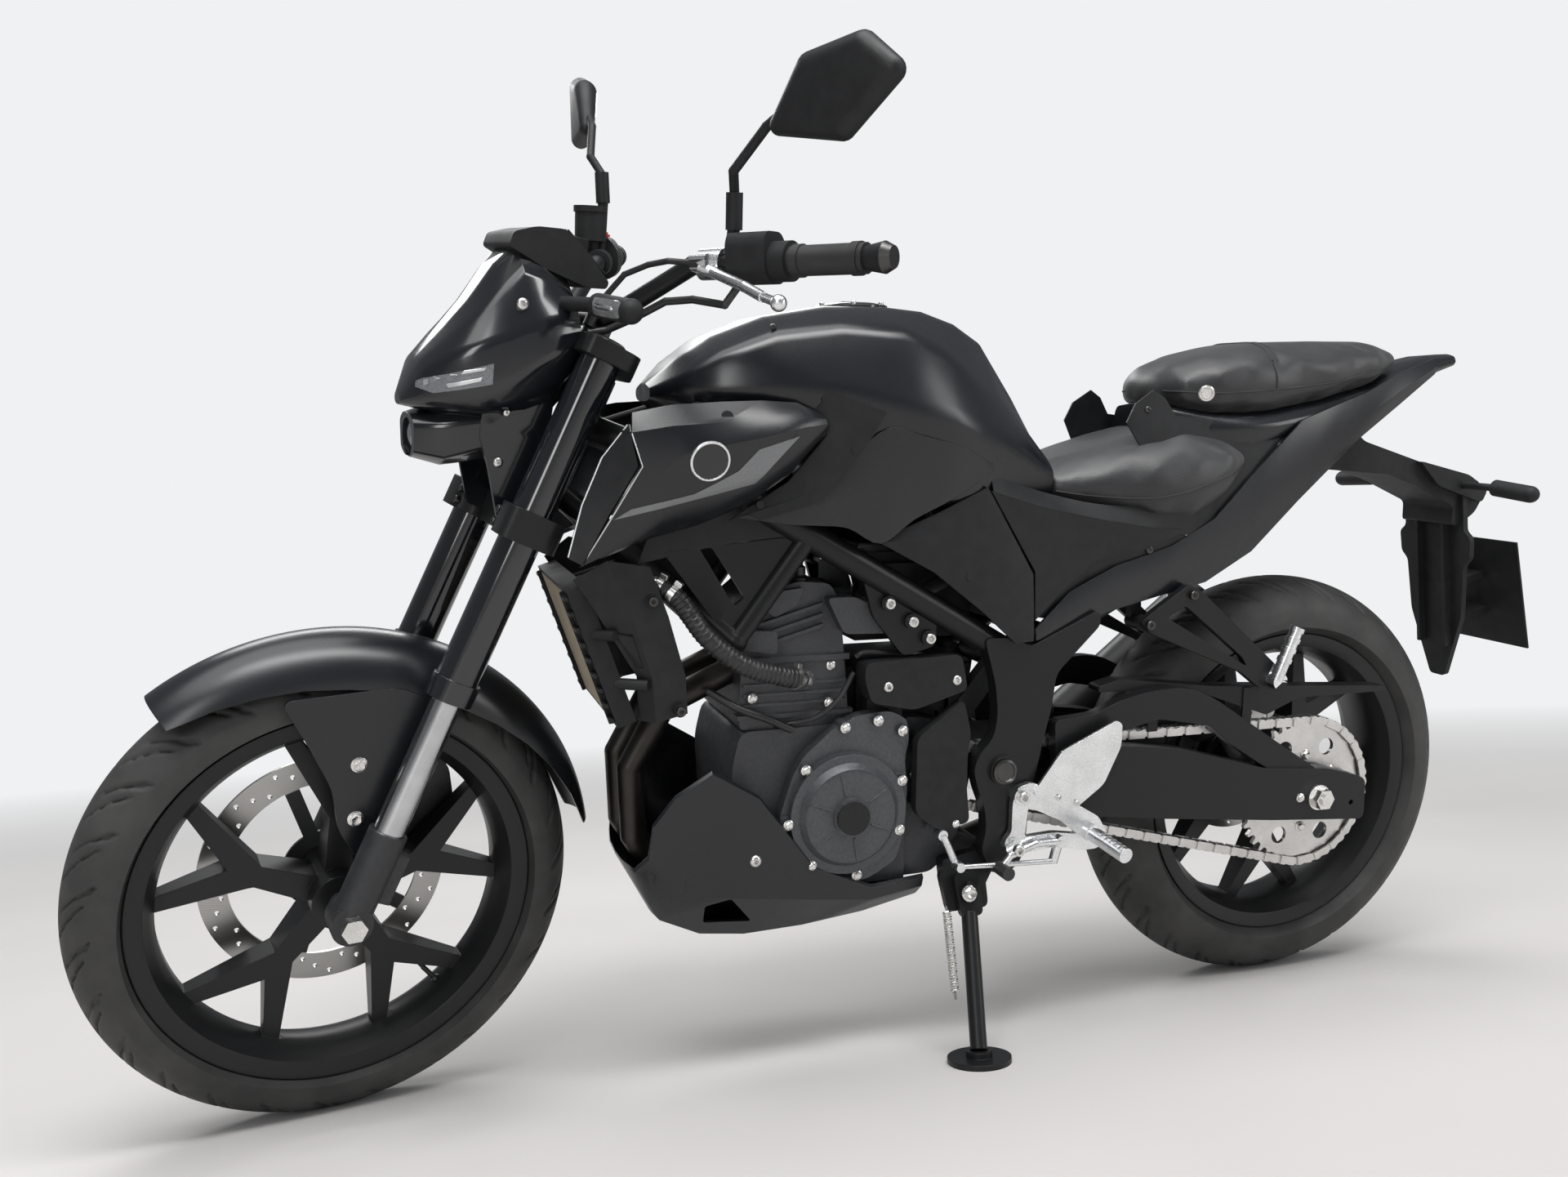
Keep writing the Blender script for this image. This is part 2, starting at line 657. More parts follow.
class MOTORCYCLE_OT_finish_nodes(bpy.types.Operator):
    """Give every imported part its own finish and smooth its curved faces"""

    bl_idname = "motorcycle.finish_nodes"
    bl_label = "Finish the packed parts"

    def execute(self, context):
        for finish, names in NODE_FINISH.items():
            for name in names.split():
                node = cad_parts[name]
                material = finish_named(finish)
                if node.material_slots:
                    for slot in node.material_slots:
                        slot.material = material
                else:
                    node.data.materials.append(material)
                custom = node.data.attributes.get("custom_normal")
                if custom:
                    node.data.attributes.remove(custom)
                node.data.polygons.foreach_set("use_smooth", [True] * len(node.data.polygons))
                weld = node.modifiers.new("Weld", "WELD")
                weld.merge_threshold = WELD
                edges = node.modifiers.new("Sharp edges", "EDGE_SPLIT")
                edges.split_angle = radians(32)
        zone("fork_inners", "caliper_casting", lambda p: p.z < 112.4, FORK)
        zone("fork_inners", "bolt_steel", lambda p: abs(p.y) > 112 and hypot(p.x, p.z) < 16, FORK)
        along = (BAR_TIP - BAR_RISE).normalized()
        grip = BAR_RISE + along * 28

        def run(p):
            return (p - BAR_RISE).dot(along)

        def off(p):
            return (p - BAR_RISE - along * run(p)).length

        for s in SIDES:
            half = Matrix.Diagonal((1, s, 1, 1))
            spot = STEERED @ half
            zone("controls", "grip_rubber", lambda p: 131 < run(p) < 226.5 and off(p) < 20, spot)
            zone("controls", "dark_bolt", lambda p: 247 < run(p) < 262 and off(p) < 20, spot)
            if s > 0:
                zone("controls", "polished_alloy", lambda p: 12 < run(p) < 50 and off(p) < 48, spot)
            lever = [grip + Vector((24, 14, -4)), (300, 200, 1045), (292, 262, 1031)]
            lever += [(289, 300, 1021), (290, 335, 1016)]
            peg = near([(-591, 142, 503), (-616, 146, 572)], 13)
            zone("controls", "polished_alloy", near(lever, 10.5), spot)
            zone("passenger_hangers", "polished_alloy", peg, STAND @ half)
            zone(
                "swingarm",
                "bolt_steel",
                lambda p: (p.xz - REAR_AXLE.xz).length < 20 and p.y > 133,
                STAND @ half,
            )
        clutch = [grip + Vector((26, 14, 0)), (334, 156, 1055), (346, 128, 1050)]
        clutch += [(364, 102, 1038), (380, 84, 1012), (394, 76, 978)]
        wires = [BAR_RISE + along * 78 + Vector((6, 0, -16)), (286, 206, 1010), (306, 164, 1014)]
        wires += [(326, 134, 1010), (350, 104, 990), (376, 82, 974), (396, 74, 970)]
        for line in (clutch, wires):
            zone("controls", "hose_rubber", near(line, 5.6), STEERED)
        zone("foot_hangers", "grip_rubber", near([(-153, 146, 271), (-153, 175, 271)], 11))
        zone(
            "engine_covers", "side_resin", lambda p: p.y > 140 and (p.xz - GENERATOR).length < 22.5
        )
        zone("exhaust", "burnt_steel", lambda p: p.x > -420)
        zone("exhaust", "polished_alloy", lambda p: p.x < -700)
        zone("nose_cowl", "visor_paint", visor_side, STEERED)
        zone(
            "nose_cowl",
            "grained_resin",
            lambda p: p.z > 1012 and p.x < 486 and abs(p.y) < 53,
            STEERED,
        )
        return {"FINISHED"}


def visor_side(p):
    """The glossy upper half of the nose, above its crease."""
    return p.z > 976 - 0.36 * (p.x - 490) + 4 and p.x > 430


def tread_cut(run, across, pitch, width):
    """How deep a place of the tread is cut, from 0 to 1."""
    side = 1 if across > 0 else -1
    t = abs(across)
    run += 0.25 * pitch * (side < 0)
    deepest = 0.0
    for start, low, high, lead in ((0.0, 9, 50, 1.15), (0.5, 16, 60, 0.85), (0.78, 34, 56, 0.5)):
        if not low - 3 < t < high + 3:
            continue
        centre = start * pitch + lead * (t - low) + 6 * sin((t - low) / 22)
        gap = abs((run - centre + pitch / 2) % pitch - pitch / 2)
        fade = min(1.0, (t - low + 3) / 5, (high + 3 - t) / 5)
        half = width / 2 * (0.65 + 0.35 * fade)
        deepest = max(deepest, fade * max(0.0, min(1.0, (half - gap) / 1.2 + 0.5)))
    return deepest


def build_tyre(end, axle, place, radius, width, flange_half):
    """Tyre with its tread cut in, in place of the plain one."""
    sizes = bpy.context.scene.motorcycle_sizes
    crown = width / 2
    centre = radius - crown
    lip = RIM_LIP
    depth = sizes.tread_depth * 1000
    groove = sizes.groove_width * 1000
    count = int(2 * pi * radius / TREAD_STEP)
    repeats = 26 if radius < 300 else 28
    pitch = 2 * pi * radius / repeats
    spans = [radians(-90 + 180 * k / 58) for k in range(59)]
    bead = [(lip - 14, flange_half - 1.0), (lip, flange_half), (lip + 2.2, flange_half + 7)]
    profile = [(r, -y, 0) for r, y in bead]
    profile += [(centre + crown * cos(a), crown * sin(a), crown * a) for a in spans]
    profile += [(r, y, 0) for r, y in bead[::-1]]
    bm = bmesh.new()
    rings = []
    for i in range(count):
        turn = 2 * pi * i / count
        run = i * 2 * pi * radius / count
        ring = []
        for r, y, across in profile:
            if across:
                cut = depth * tread_cut(run, across, pitch, groove)
                fall = abs(across) / crown
                band = 0.45 if 1.18 < fall < 1.2 or 1.38 < fall < 1.4 else 0.0
                angle = across / crown
                r -= (cut - band) * cos(angle)
                y -= (cut - band) * sin(angle)
            ring.append(bm.verts.new(axle + Vector((r * cos(turn), y, r * sin(turn)))))
        rings.append(ring)
    for a, b in zip(rings, rings[1:] + rings[:1]):
        for k in range(len(profile) - 1):
            bm.faces.new((a[k], b[k], b[k + 1], a[k + 1]))
        bm.faces.new((a[-1], b[-1], b[0], a[0]))
    piece = put(f"{end}_tyre_tread", bm, f"{end}_wheel", "tyre_rubber", place, 50)
    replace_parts(piece, f"{end}_tyre")


class MOTORCYCLE_OT_tyres(bpy.types.Operator):
    """Cut the road tread into both tyres"""

    bl_idname = "motorcycle.tyres"
    bl_label = "Tyre tread"

    def execute(self, context):
        for end, axle, place, radius, width, flange_half in (
            ("front", FRONT_AXLE, STEERED, 293, 110, 38),
            ("rear", REAR_AXLE, STAND, 314, 140, 51),
        ):
            build_tyre(end, axle, place, radius, width, flange_half)
        return {"FINISHED"}


def stuffed(name, node):
    """Cushion from a seat's solid, filled by a short cloth simulation."""
    sizes = bpy.context.scene.motorcycle_sizes
    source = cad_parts[node]
    mesh = source.data.copy()
    mesh.materials.clear()
    piece = bpy.data.objects.new(name, mesh)
    bpy.context.scene.collection.objects.link(piece)
    bpy.context.view_layer.objects.active = piece
    for o in bpy.context.selected_objects:
        o.select_set(False)
    piece.select_set(True)
    remesh = piece.modifiers.new("Remesh", "REMESH")
    remesh.mode, remesh.voxel_size = "VOXEL", CUSHION_VOXEL
    bpy.ops.object.modifier_apply(modifier="Remesh")
    bm = bmesh.new()
    bm.from_mesh(piece.data)
    axes = {"use_axis_x": True, "use_axis_y": True, "use_axis_z": True}
    bmesh.ops.smooth_vert(bm, verts=bm.verts, factor=0.5, **axes)
    for v in bm.verts:
        v.co -= v.normal * CUSHION_INSET
    bm.to_mesh(piece.data)
    bm.free()
    rest = [v.co.copy() for v in piece.data.vertices]
    cloth = piece.modifiers.new("Cloth", "CLOTH")
    settings = cloth.settings
    settings.effector_weights.gravity = 0
    settings.use_pressure, settings.uniform_pressure_force = True, 4
    settings.quality, settings.tension_stiffness = 4, 25
    cloth.collision_settings.use_collision = False
    for step in range(1, CLOTH_STEPS + 1):
        bpy.context.scene.frame_set(step)
    bpy.ops.object.modifier_apply(modifier="Cloth")
    bpy.context.scene.frame_set(1)
    for v, was in zip(piece.data.vertices, rest):
        moved = v.co - was
        if moved.length > sizes.cushion_swell:
            v.co = was + moved.normalized() * sizes.cushion_swell
    soften = piece.modifiers.new("Soften", "CORRECTIVE_SMOOTH")
    soften.iterations, soften.use_only_smooth = 6, True
    bpy.ops.object.modifier_apply(modifier="Soften")
    finer = piece.modifiers.new("Finer", "SUBSURF")
    finer.levels = finer.render_levels = 1
    bpy.ops.object.modifier_apply(modifier="Finer")
    piece.data.materials.append(finish_named("seat_vinyl"))
    shade(piece.data, 80)
    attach(piece, "chassis")
    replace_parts(piece, node)
    return piece


def line_on(tree, points, look, steps=8, lift=0.2):
    """A smooth line dropped onto a surface along the look direction."""
    look = Vector(look)
    found = []
    for p in fair_line(points, steps):
        hit = tree.ray_cast(p - look * 300, look)
        if hit[0] is not None:
            found.append(hit[0] + hit[1] * lift)
    return found


class MOTORCYCLE_OT_cushions(bpy.types.Operator):
    """Stuff and stitch the rider's and the passenger's cushions"""

    bl_idname = "motorcycle.cushions"
    bl_label = "Cushions"

    def execute(self, context):
        rider = stuffed("rider_cushion", "rider_seat")
        passenger = stuffed("passenger_cushion", "passenger_seat")
        tree = tree_of(rider)
        bm = bmesh.new()

        def welt(radius, *edge):
            for s in SIDES:
                points = [(x, 200 * s, z) for x, z in edge]
                sweep(bm, line_on(tree, points, (0, -s, 0)), radius, 6)

        welt(1.5, (-238, 772), (-300, 764), (-380, 762), (-450, 776), (-510, 796), (-545, 808))
        tree = tree_of(passenger)
        across = [(-592, y, 1200) for y in (-86, -60, -30, 0, 30, 60, 86)]
        sweep(bm, line_on(tree, across, (0, 0, -1)), 1.5, 6)
        sweep(bm, line_on(tree, [(x - 9, y, z) for x, y, z in across], (0, 0, -1)), 0.8, 6)
        welt(1.5, (-592, 946), (-592, 912))
        welt(1.4, (-440, 906), (-500, 904), (-590, 910), (-700, 922), (-800, 944))
        put("seat_welts", bm, "chassis", "seat_thread")
        bm = bmesh.new()
        hit = tree.ray_cast(Vector((-483, 400, 903)), Vector((0, -1, 0)))
        barrel = [(11.5, -2), (11.5, 1.2), (10.2, 2.2), (8.2, 2.2)]
        barrel += [(8.0, 1.2), (7.4, 1.2), (7.0, 2.0), (1.6, 2.2)]
        lathe(bm, hit[0], hit[1], barrel, 28)
        put("seat_lock", bm, "chassis", "bolt_steel")
        return {"FINISHED"}


class MOTORCYCLE_OT_fasteners(bpy.types.Operator):
    """Set the bolts and nuts that show on the frame, the engine, the wheels and the fork"""

    bl_idname = "motorcycle.fasteners"
    bl_label = "Fasteners"

    def execute(self, context):
        def row(bm, node, spots, side, make, size, place=STAND):
            """The same fastener at several places, seated on the outermost face round each."""
            tree = surface_of(node, place)
            for x, z in spots:
                round_it = [(x, z), (x + size, z), (x - size, z), (x, z + size), (x, z - size)]
                hits = [onto(tree, (u, 0, w), (0, -side, 0)) for u, w in round_it]
                heights = [side * at.y for at in hits if at is not None]
                if heights:
                    make(bm, Vector((x, side * max(heights), z)), (0, side, 0), size)

        covers = [(61, 472), (15, 478), (-20, 462), (-18, 397), (-16, 330)]
        covers += [(41, 272), (107, 294), (139, 352), (114, 420)]
        clutch = [(140, 410), (60, 460), (-50, 458), (-100, 440), (20, 272), (104, 278), (142, 338)]
        bright, dark = bmesh.new(), bmesh.new()
        for bm, node, sides, make, size, spots in (
            (bright, "engine_covers", (1,), flange_bolt, 5.2, covers),
            (bright, "engine_covers", (-1,), flange_bolt, 5.2, clutch),
            (bright, "cylinder_head", SIDES, flange_bolt, 4.8, [(74, 500), (180, 546)]),
            (bright, "cylinder_head", (1,), flange_bolt, 4.8, [(70, 548), (178, 512)]),
            (bright, "sprocket_cover", (1,), lens_screw, 7, [(4, 523), (-94, 526)]),
            (bright, "sprocket_cover", (1,), flange_bolt, 4, [(-55, 476), (-98, 330)]),
            (bright, "belly_pan", SIDES, lens_screw, 8, [(185, 312)]),
            (bright, "foot_hangers", SIDES, socket_bolt, 8, [(-185, 366), (-175, 297)]),
            (bright, "foot_hangers", SIDES, socket_bolt, 4, [(-240, 360), (-268, 350)]),
            (bright, "main_frame", SIDES, socket_bolt, 7, [(5, 632), (-28, 607), (-53, 584)]),
            (dark, "passenger_hangers", SIDES, socket_bolt, 6.5, [(-447, 627), (-379, 588)]),
            (dark, "radiator_shrouds", SIDES, socket_bolt, 6, [(317, 650), (283, 514)]),
            (dark, "pivot_plates", SIDES, pivot_cap, 17, [(-162, 400)]),
            (dark, "tail_cowl", SIDES, lens_screw, 6, [(-383, 690)]),
            (dark, "fuel_tank", SIDES, lens_screw, 4, [(161, 975)]),
            (bright, "swingarm", (1,), flange_bolt, 5, [(-657, 316)]),
        ):
            for s in sides:
                row(bm, node, spots, s, make, size)
        put("chassis_bolts", bright, "chassis", "bolt_steel")
        put("chassis_dark_bolts", dark, "chassis", "dark_bolt")

        bright, dark = bmesh.new(), bmesh.new()
        for s in SIDES:
            row(bright, "front_fender", [(668, 471), (674, 405)], s, flange_bolt, 7, STEERED)
            for spot, size in (((478, 1000), 7), ((494, 877), 4), ((502, 819), 6)):
                row(bright, "nose_cowl", [spot], s, lens_screw, size, STEERED)
        put("steering_bolts", bright, "steering", "bolt_steel", STEERED)
        clamp = surface_of("triple_clamps", FORK)
        for s in SIDES:
            for w in (492, 508, 723):
                at = onto(clamp, (0, 78 * s, w), (-1, 0, 0))
                if at is not None:
                    socket_bolt(dark, at, (1, 0, 0), 5)
            at = onto(clamp, (0, 95 * s, 740), (0, 0, -1))
            plug = [(21, -1), (21, 3), (18, 5), (9, 5), (8, 3.5), (3, 3.5)]
            lathe(dark, at or (0, 95 * s, 734), (0, 0, 1), plug, 28)
            for u in (-6, 15):
                at = onto(clamp, (u, 45 * s, 790), (0, 0, -1))
                if at is not None:
                    socket_bolt(dark, at, (0, 0, 1), 4.2)
        lathe(dark, (-38, 0, 730), (0, 0, 1), [(20, -1), (20, 6), (16, 9), (15, 9), (6, 7)], 6)
        put("clamp_bolts", dark, "steering", "dark_bolt", FORK)

        for name, node, body, axle, place, side, reach, size, count, start in (
            ("front_disc_bolts", "front_disc", "front_wheel", FRONT_AXLE, STEERED, -1, 42, 5, 5, 0),
            ("rear_disc_bolts", "rear_disc", "rear_wheel", REAR_AXLE, STAND, -1, 46, 5, 5, 0),
            ("sprocket_nuts", "rear_sprocket", "rear_wheel", REAR_AXLE, STAND, 1, 56, 6, 6, 30),
        ):
            bm = bmesh.new()
            turns = [radians(360 / count * k + start) for k in range(count)]
            spots = [(axle.x + reach * cos(a), axle.z + reach * sin(a)) for a in turns]
            row(bm, node, spots, side, flange_bolt, size, place)
            put(name, bm, body, "bolt_steel", place)
        return {"FINISHED"}


class MOTORCYCLE_OT_stripes(bpy.types.Operator):
    """Lay the grey stripe, the bright edge and the plain roundel on each scoop"""

    bl_idname = "motorcycle.stripes"
    bl_label = "Stripes and edges"

    def execute(self, context):
        tree = surface_of("tank_scoops")
        stripe = bmesh.new()
        outline = [(149, 846), (202, 831), (226, 806), (278, 780)]
        outline += [(350, 763), (369, 751), (257, 778), (203, 791)]
        for s in SIDES:
            sheet_on(stripe, tree, outline, s, 0.6, 4)
        put("scoop_stripes", stripe, "chassis", "stripe_grey")
        edge = bmesh.new()
        duct = [(418, 147, 707), (400.5, 139.3, 765), (376.6, 136.5, 819), (345.5, 133.7, 857)]
        scoop = [(402.5, 149, 697.5), (370.5, 167.5, 755), (339, 183, 812), (350, 177.5, 849)]
        for line, radius in ((duct, 1.5), (scoop, 1.0)):
            for _, points in mirrored(line):
                sweep(edge, points, radius, 8)
        put("scoop_edges", edge, "chassis", "dull_alloy")
        ring, blank = bmesh.new(), bmesh.new()
        rim = [(24, -1.5), (24, 1.4), (23.2, 2.2), (21.4, 2.2), (20.8, 1.2), (20.8, -1.5)]
        for s in SIDES:
            hit = tree.ray_cast(Vector((ROUNDEL[0], 400 * s, ROUNDEL[1])), Vector((0, -s, 0)))
            if hit[0] is None:
                raise RuntimeError("the roundel misses its scoop")
            lathe(ring, hit[0], hit[1], rim, 48)
            lathe(blank, hit[0], hit[1], [(21, -1.5), (21, 0.9), (12, 1.2), (2, 1.4)], 48)
        put("roundel_rings", ring, "chassis", "polished_alloy")
        put("roundel_blanks", blank, "chassis", "visor_paint")
        return {"FINISHED"}


class MOTORCYCLE_OT_side_trim(bpy.types.Operator):
    """Close the sides with the thin panels under the tank, under the seat and at the tail"""

    bl_idname = "motorcycle.side_trim"
    bl_label = "Side trim"

    def execute(self, context):
        def skin(bm, columns, thick):
            for s in SIDES:
                rows = [[Vector((x, y * s, z)) for x, y, z in line] for line in zip(*columns)]
                fair_sheet(bm, rows, thick, s)

        tank, dark = bmesh.new(), bmesh.new()
        columns = (
            ((206, 130, 753), (209, 131, 750), (212, 131, 747)),
            ((150, 138, 777), (148, 139, 757), (146, 139, 738)),
            ((112, 143, 794), (110, 145, 765), (108, 142, 736)),
            ((76, 150, 820), (74, 150, 776), (72, 143, 732)),
            ((28, 160.5, 856), (28, 154, 784), (28, 142, 712)),
            ((-18, 163, 846), (-18, 154, 794), (-16, 143, 741)),
            ((-60, 160, 836), (-60, 153.5, 798), (-60, 144, 762)),
            ((-95, 151, 824), (-95, 147.5, 803), (-97, 143, 783)),
            ((-126, 139.5, 810), (-126, 140.5, 806), (-126, 141, 802)),
        )
        skin(tank, columns, 2.2)
        put("tank_side_trim", tank, "chassis", "tank_paint")
        under_seat = (
            ((-128, 128, 800), (-132, 134, 772)),
            ((-180, 112, 782), (-180, 133, 751)),
            ((-240, 100, 766), (-240, 132, 737)),
            ((-300, 106, 754), (-300, 127, 728)),
            ((-360, 114, 750), (-360, 126, 718)),
            ((-420, 118, 748), (-420, 119, 711)),
            ((-470, 112, 752), (-466, 112, 709)),
            ((-520, 100, 768), (-510, 106, 722)),
        )
        skin(dark, under_seat, TRIM_THICK)
        for outline in (
            [
                (-204, 127, 606), (-240, 124, 640), (-290, 121, 680), (-380, 118, 696),
                (-432, 115, 714), (-452, 113, 704), (-400, 112, 676), (-340, 112, 652),
                (-280, 112, 622), (-232, 114, 600),
            ],
            [
                (330, 113, 692), (312, 113, 737), (262, 113, 749), (206, 114, 767),
                (160, 114, 770), (120, 114, 741), (126, 114, 722), (200, 113, 716),
                (262, 113, 706),
            ],
            [
                (-360, 82, 862), (-373, 82, 888), (-402, 80, 907), (-420, 82, 896),
                (-436, 85, 872), (-412, 92, 826), (-384, 90, 822),
            ],
            [
                (-412, 92, 826), (-436, 85, 872), (-490, 88, 866), (-560, 90, 872),
                (-604, 92, 862), (-606, 95, 838), (-588, 99, 802), (-556, 104, 766),
                (-520, 107, 736), (-480, 106, 742), (-440, 98, 796),
            ],
        ):
            for s, points in mirrored(outline):
                plate(dark, points, TRIM_THICK, s)
        put("inner_side_trim", dark, "chassis", "side_resin")
        tree = tree_of(bpy.data.objects["inner_side_trim"])
        screws = bmesh.new()
        for s in SIDES:
            for x, z, r in ((-590, 852, 5), (-392, 880, 5)):
                at = onto(tree, (x, 0, z), (0, -s, 0))
                if at is not None:
                    lens_screw(screws, at, (0, s, 0), r)
        put("trim_screws", screws, "chassis", "dark_bolt")
        return {"FINISHED"}


class MOTORCYCLE_OT_intake(bpy.types.Operator):
    """Fill the frame's middle with the air box, the intakes, the starter and the covers' ribs"""

    bl_idname = "motorcycle.intake"
    bl_label = "Intake side"

    def execute(self, context):
        boxes, metal = bmesh.new(), bmesh.new()
        for low, high, chamfer in (
            ((-146, -66, 572), (38, 66, 690), 14),
            ((-290, -76, 596), (-158, 76, 690), 12),
            ((-112, -58, 458), (34, 58, 548), 12),
            ((-150, -58, 296), (-104, 58, 540), 10),
        ):
            block(boxes, low, high, chamfer=chamfer)
        put("air_box", boxes, "chassis", "side_resin")
        stub = [(27, 0), (27, 8), (23, 10), (23, 34), (27, 36), (27, 44)]
        for y in (-46, 46):
            lathe(metal, (66, y, 616), (-1, 0, 0.05), stub, 28)
        starter = [(26, 0), (32, 4), (32, 150), (27, 156), (12, 158)]
        lathe(metal, (-14, -84, 506), (0, 1, 0), starter, 32)
        put("intakes_and_starter", metal, "chassis", "caliper_casting")
        tree = surface_of("engine_covers")
        ribs = bmesh.new()
        for turn in (20, 74, 146, 205, 262, 322):
            a = radians(turn)
            x, z = GENERATOR
            line = [(x + r * cos(a), 400, z + r * sin(a)) for r in (30, 38, 46, 54, 60)]
            sweep(ribs, line_on(tree, line, (0, -1, 0), 3, 0.2), lambda d: 1.7 - 0.03 * d, 8)
        put("cover_ribs", ribs, "chassis", "cover_casting")
        return {"FINISHED"}


class MOTORCYCLE_OT_mirrors(bpy.types.Operator):
    """Set the glass into both mirrors"""

    bl_idname = "motorcycle.mirror_glass"
    bl_label = "Mirror glass"

    def execute(self, context):
        tree = surface_of("mirrors", STEERED)
        bm = bmesh.new()
        outline = [(296, 1214), (312, 1248), (344, 1262), (384, 1268)]
        outline += [(412, 1252), (408, 1226), (374, 1194), (330, 1196)]
        for s, rise in ((1, 0), (-1, 42)):
            pane = [(y * s, z + rise) for y, z in outline][::s]
            sheet_on(bm, tree, pane, 1, 0.5, 12, 0.8, (1, 0, 0), (1, 2))
        put("mirror_panes", bm, "steering", "mirror_glass", STEERED)
        return {"FINISHED"}


class MOTORCYCLE_OT_meter(bpy.types.Operator):
    """Fit the display, its keys, the lock barrel and the tank's filler cap"""

    bl_idname = "motorcycle.meter"
    bl_label = "Meter and caps"

    def execute(self, context):
        slope = atan2(1086 - 1030, 417 - 362)
        at = Matrix.Translation((390, 0, 1060)) @ Matrix.Rotation(-slope, 4, "Y")
        bezel, screen, keys = bmesh.new(), bmesh.new(), bmesh.new()
        block(bezel, (-36, -50, -2), (36, 50, 3), at, 2.5)
        block(screen, (-27, -42, 1), (29, 42, 3.6), at, 1.5)
        for y in (-34, 34):
            block(keys, (-34, y - 9, 2), (-29, y + 9, 5), at, 1.2)
        put("meter_bezel", bezel, "steering", "grained_resin", STEERED)
        put("meter_screen", screen, "steering", "screen_glass", STEERED)
        put("meter_keys", keys, "steering", "grip_rubber", STEERED)
        lock = bmesh.new()
        barrel = [(21, -3), (21, 10), (18, 13), (12, 13), (11, 11), (3, 11)]
        lathe(lock, (-20, 0, 736), (0, 0, 1), barrel, 32)
        block(lock, (-34, -3, 745), (-8, 3, 762), chamfer=1.2)
        put("ignition_lock", lock, "steering", "dark_bolt", FORK)
        tree = surface_of("fuel_tank")
        hit = tree.ray_cast(Vector((FILLER_X, 0, 1400)), Vector((0, 0, -1)))
        cap = bmesh.new()
        rim = [(50, -3), (50, 2.0), (46, 4.0), (43, 4.0), (42, 1.5)]
        rim += [(39, 1.5), (38, 4.6), (34, 6.0), (6, 6.4)]
        lathe(cap, hit[0], hit[1], rim, 64)
        x, z = hit[0].x, hit[0].z
        block(cap, (x - 26, -13, z + 4), (x + 16, 13, z + 8), chamfer=1.5)
        put("filler_cap", cap, "chassis", "visor_paint")
        screws = bmesh.new()
        for k in range(6):
            a = radians(60 * k + 15)
            u, v = FILLER_SCREW_RING * cos(a), FILLER_SCREW_RING * sin(a)
            spot = hit[0] + Vector((u, v, 3.6 - hit[1].x / hit[1].z * u))
            socket_bolt(screws, spot, hit[1], 3.4)
        put("filler_screws", screws, "chassis", "bolt_steel")
        return {"FINISHED"}


def lens_bar(bm, a, b, face, half, bulge):
    """Long bowed lens between two ends, facing one way from the line through its shell."""
    a, b, face = Vector(a), Vector(b), Vector(face)
    along = (b - a).normalized()
    face = (face - along * along.dot(face)).normalized()
    up = along.cross(face)
    rows, rim = [], []
    for k in range(13):
        t = k / 12
        tall = half * max(0.0, 1 - (2 * t - 1) ** 8) ** 0.5 if 0 < k < 12 else half * 0.45
        depth = bulge - 2.2 * (2 * t - 1) ** 6
        spine, spans = a + (b - a) * t, [j / 4 - 1 for j in range(9)]
        points = [spine + face * (depth - 1.6 * u**2) + up * tall * u for u in spans]
        rows.append([bm.verts.new(p) for p in points])
        rim.append([bm.verts.new(v.co - face * 6) for v in rows[-1]])
    for r0, r1, m0, m1 in zip(rows, rows[1:], rim, rim[1:]):
        for j in range(8):
            bm.faces.new((r0[j], r0[j + 1], r1[j + 1], r1[j]))
            bm.faces.new((m0[j], m1[j], m1[j + 1], m0[j + 1]))
        bm.faces.new((r0[0], r1[0], m1[0], m0[0]))
        bm.faces.new((r0[-1], m0[-1], m1[-1], r1[-1]))
    for j in range(8):
        bm.faces.new((rows[0][j], rim[0][j], rim[0][j + 1], rows[0][j + 1]))
        bm.faces.new((rows[-1][j], rows[-1][j + 1], rim[-1][j + 1], rim[-1][j]))


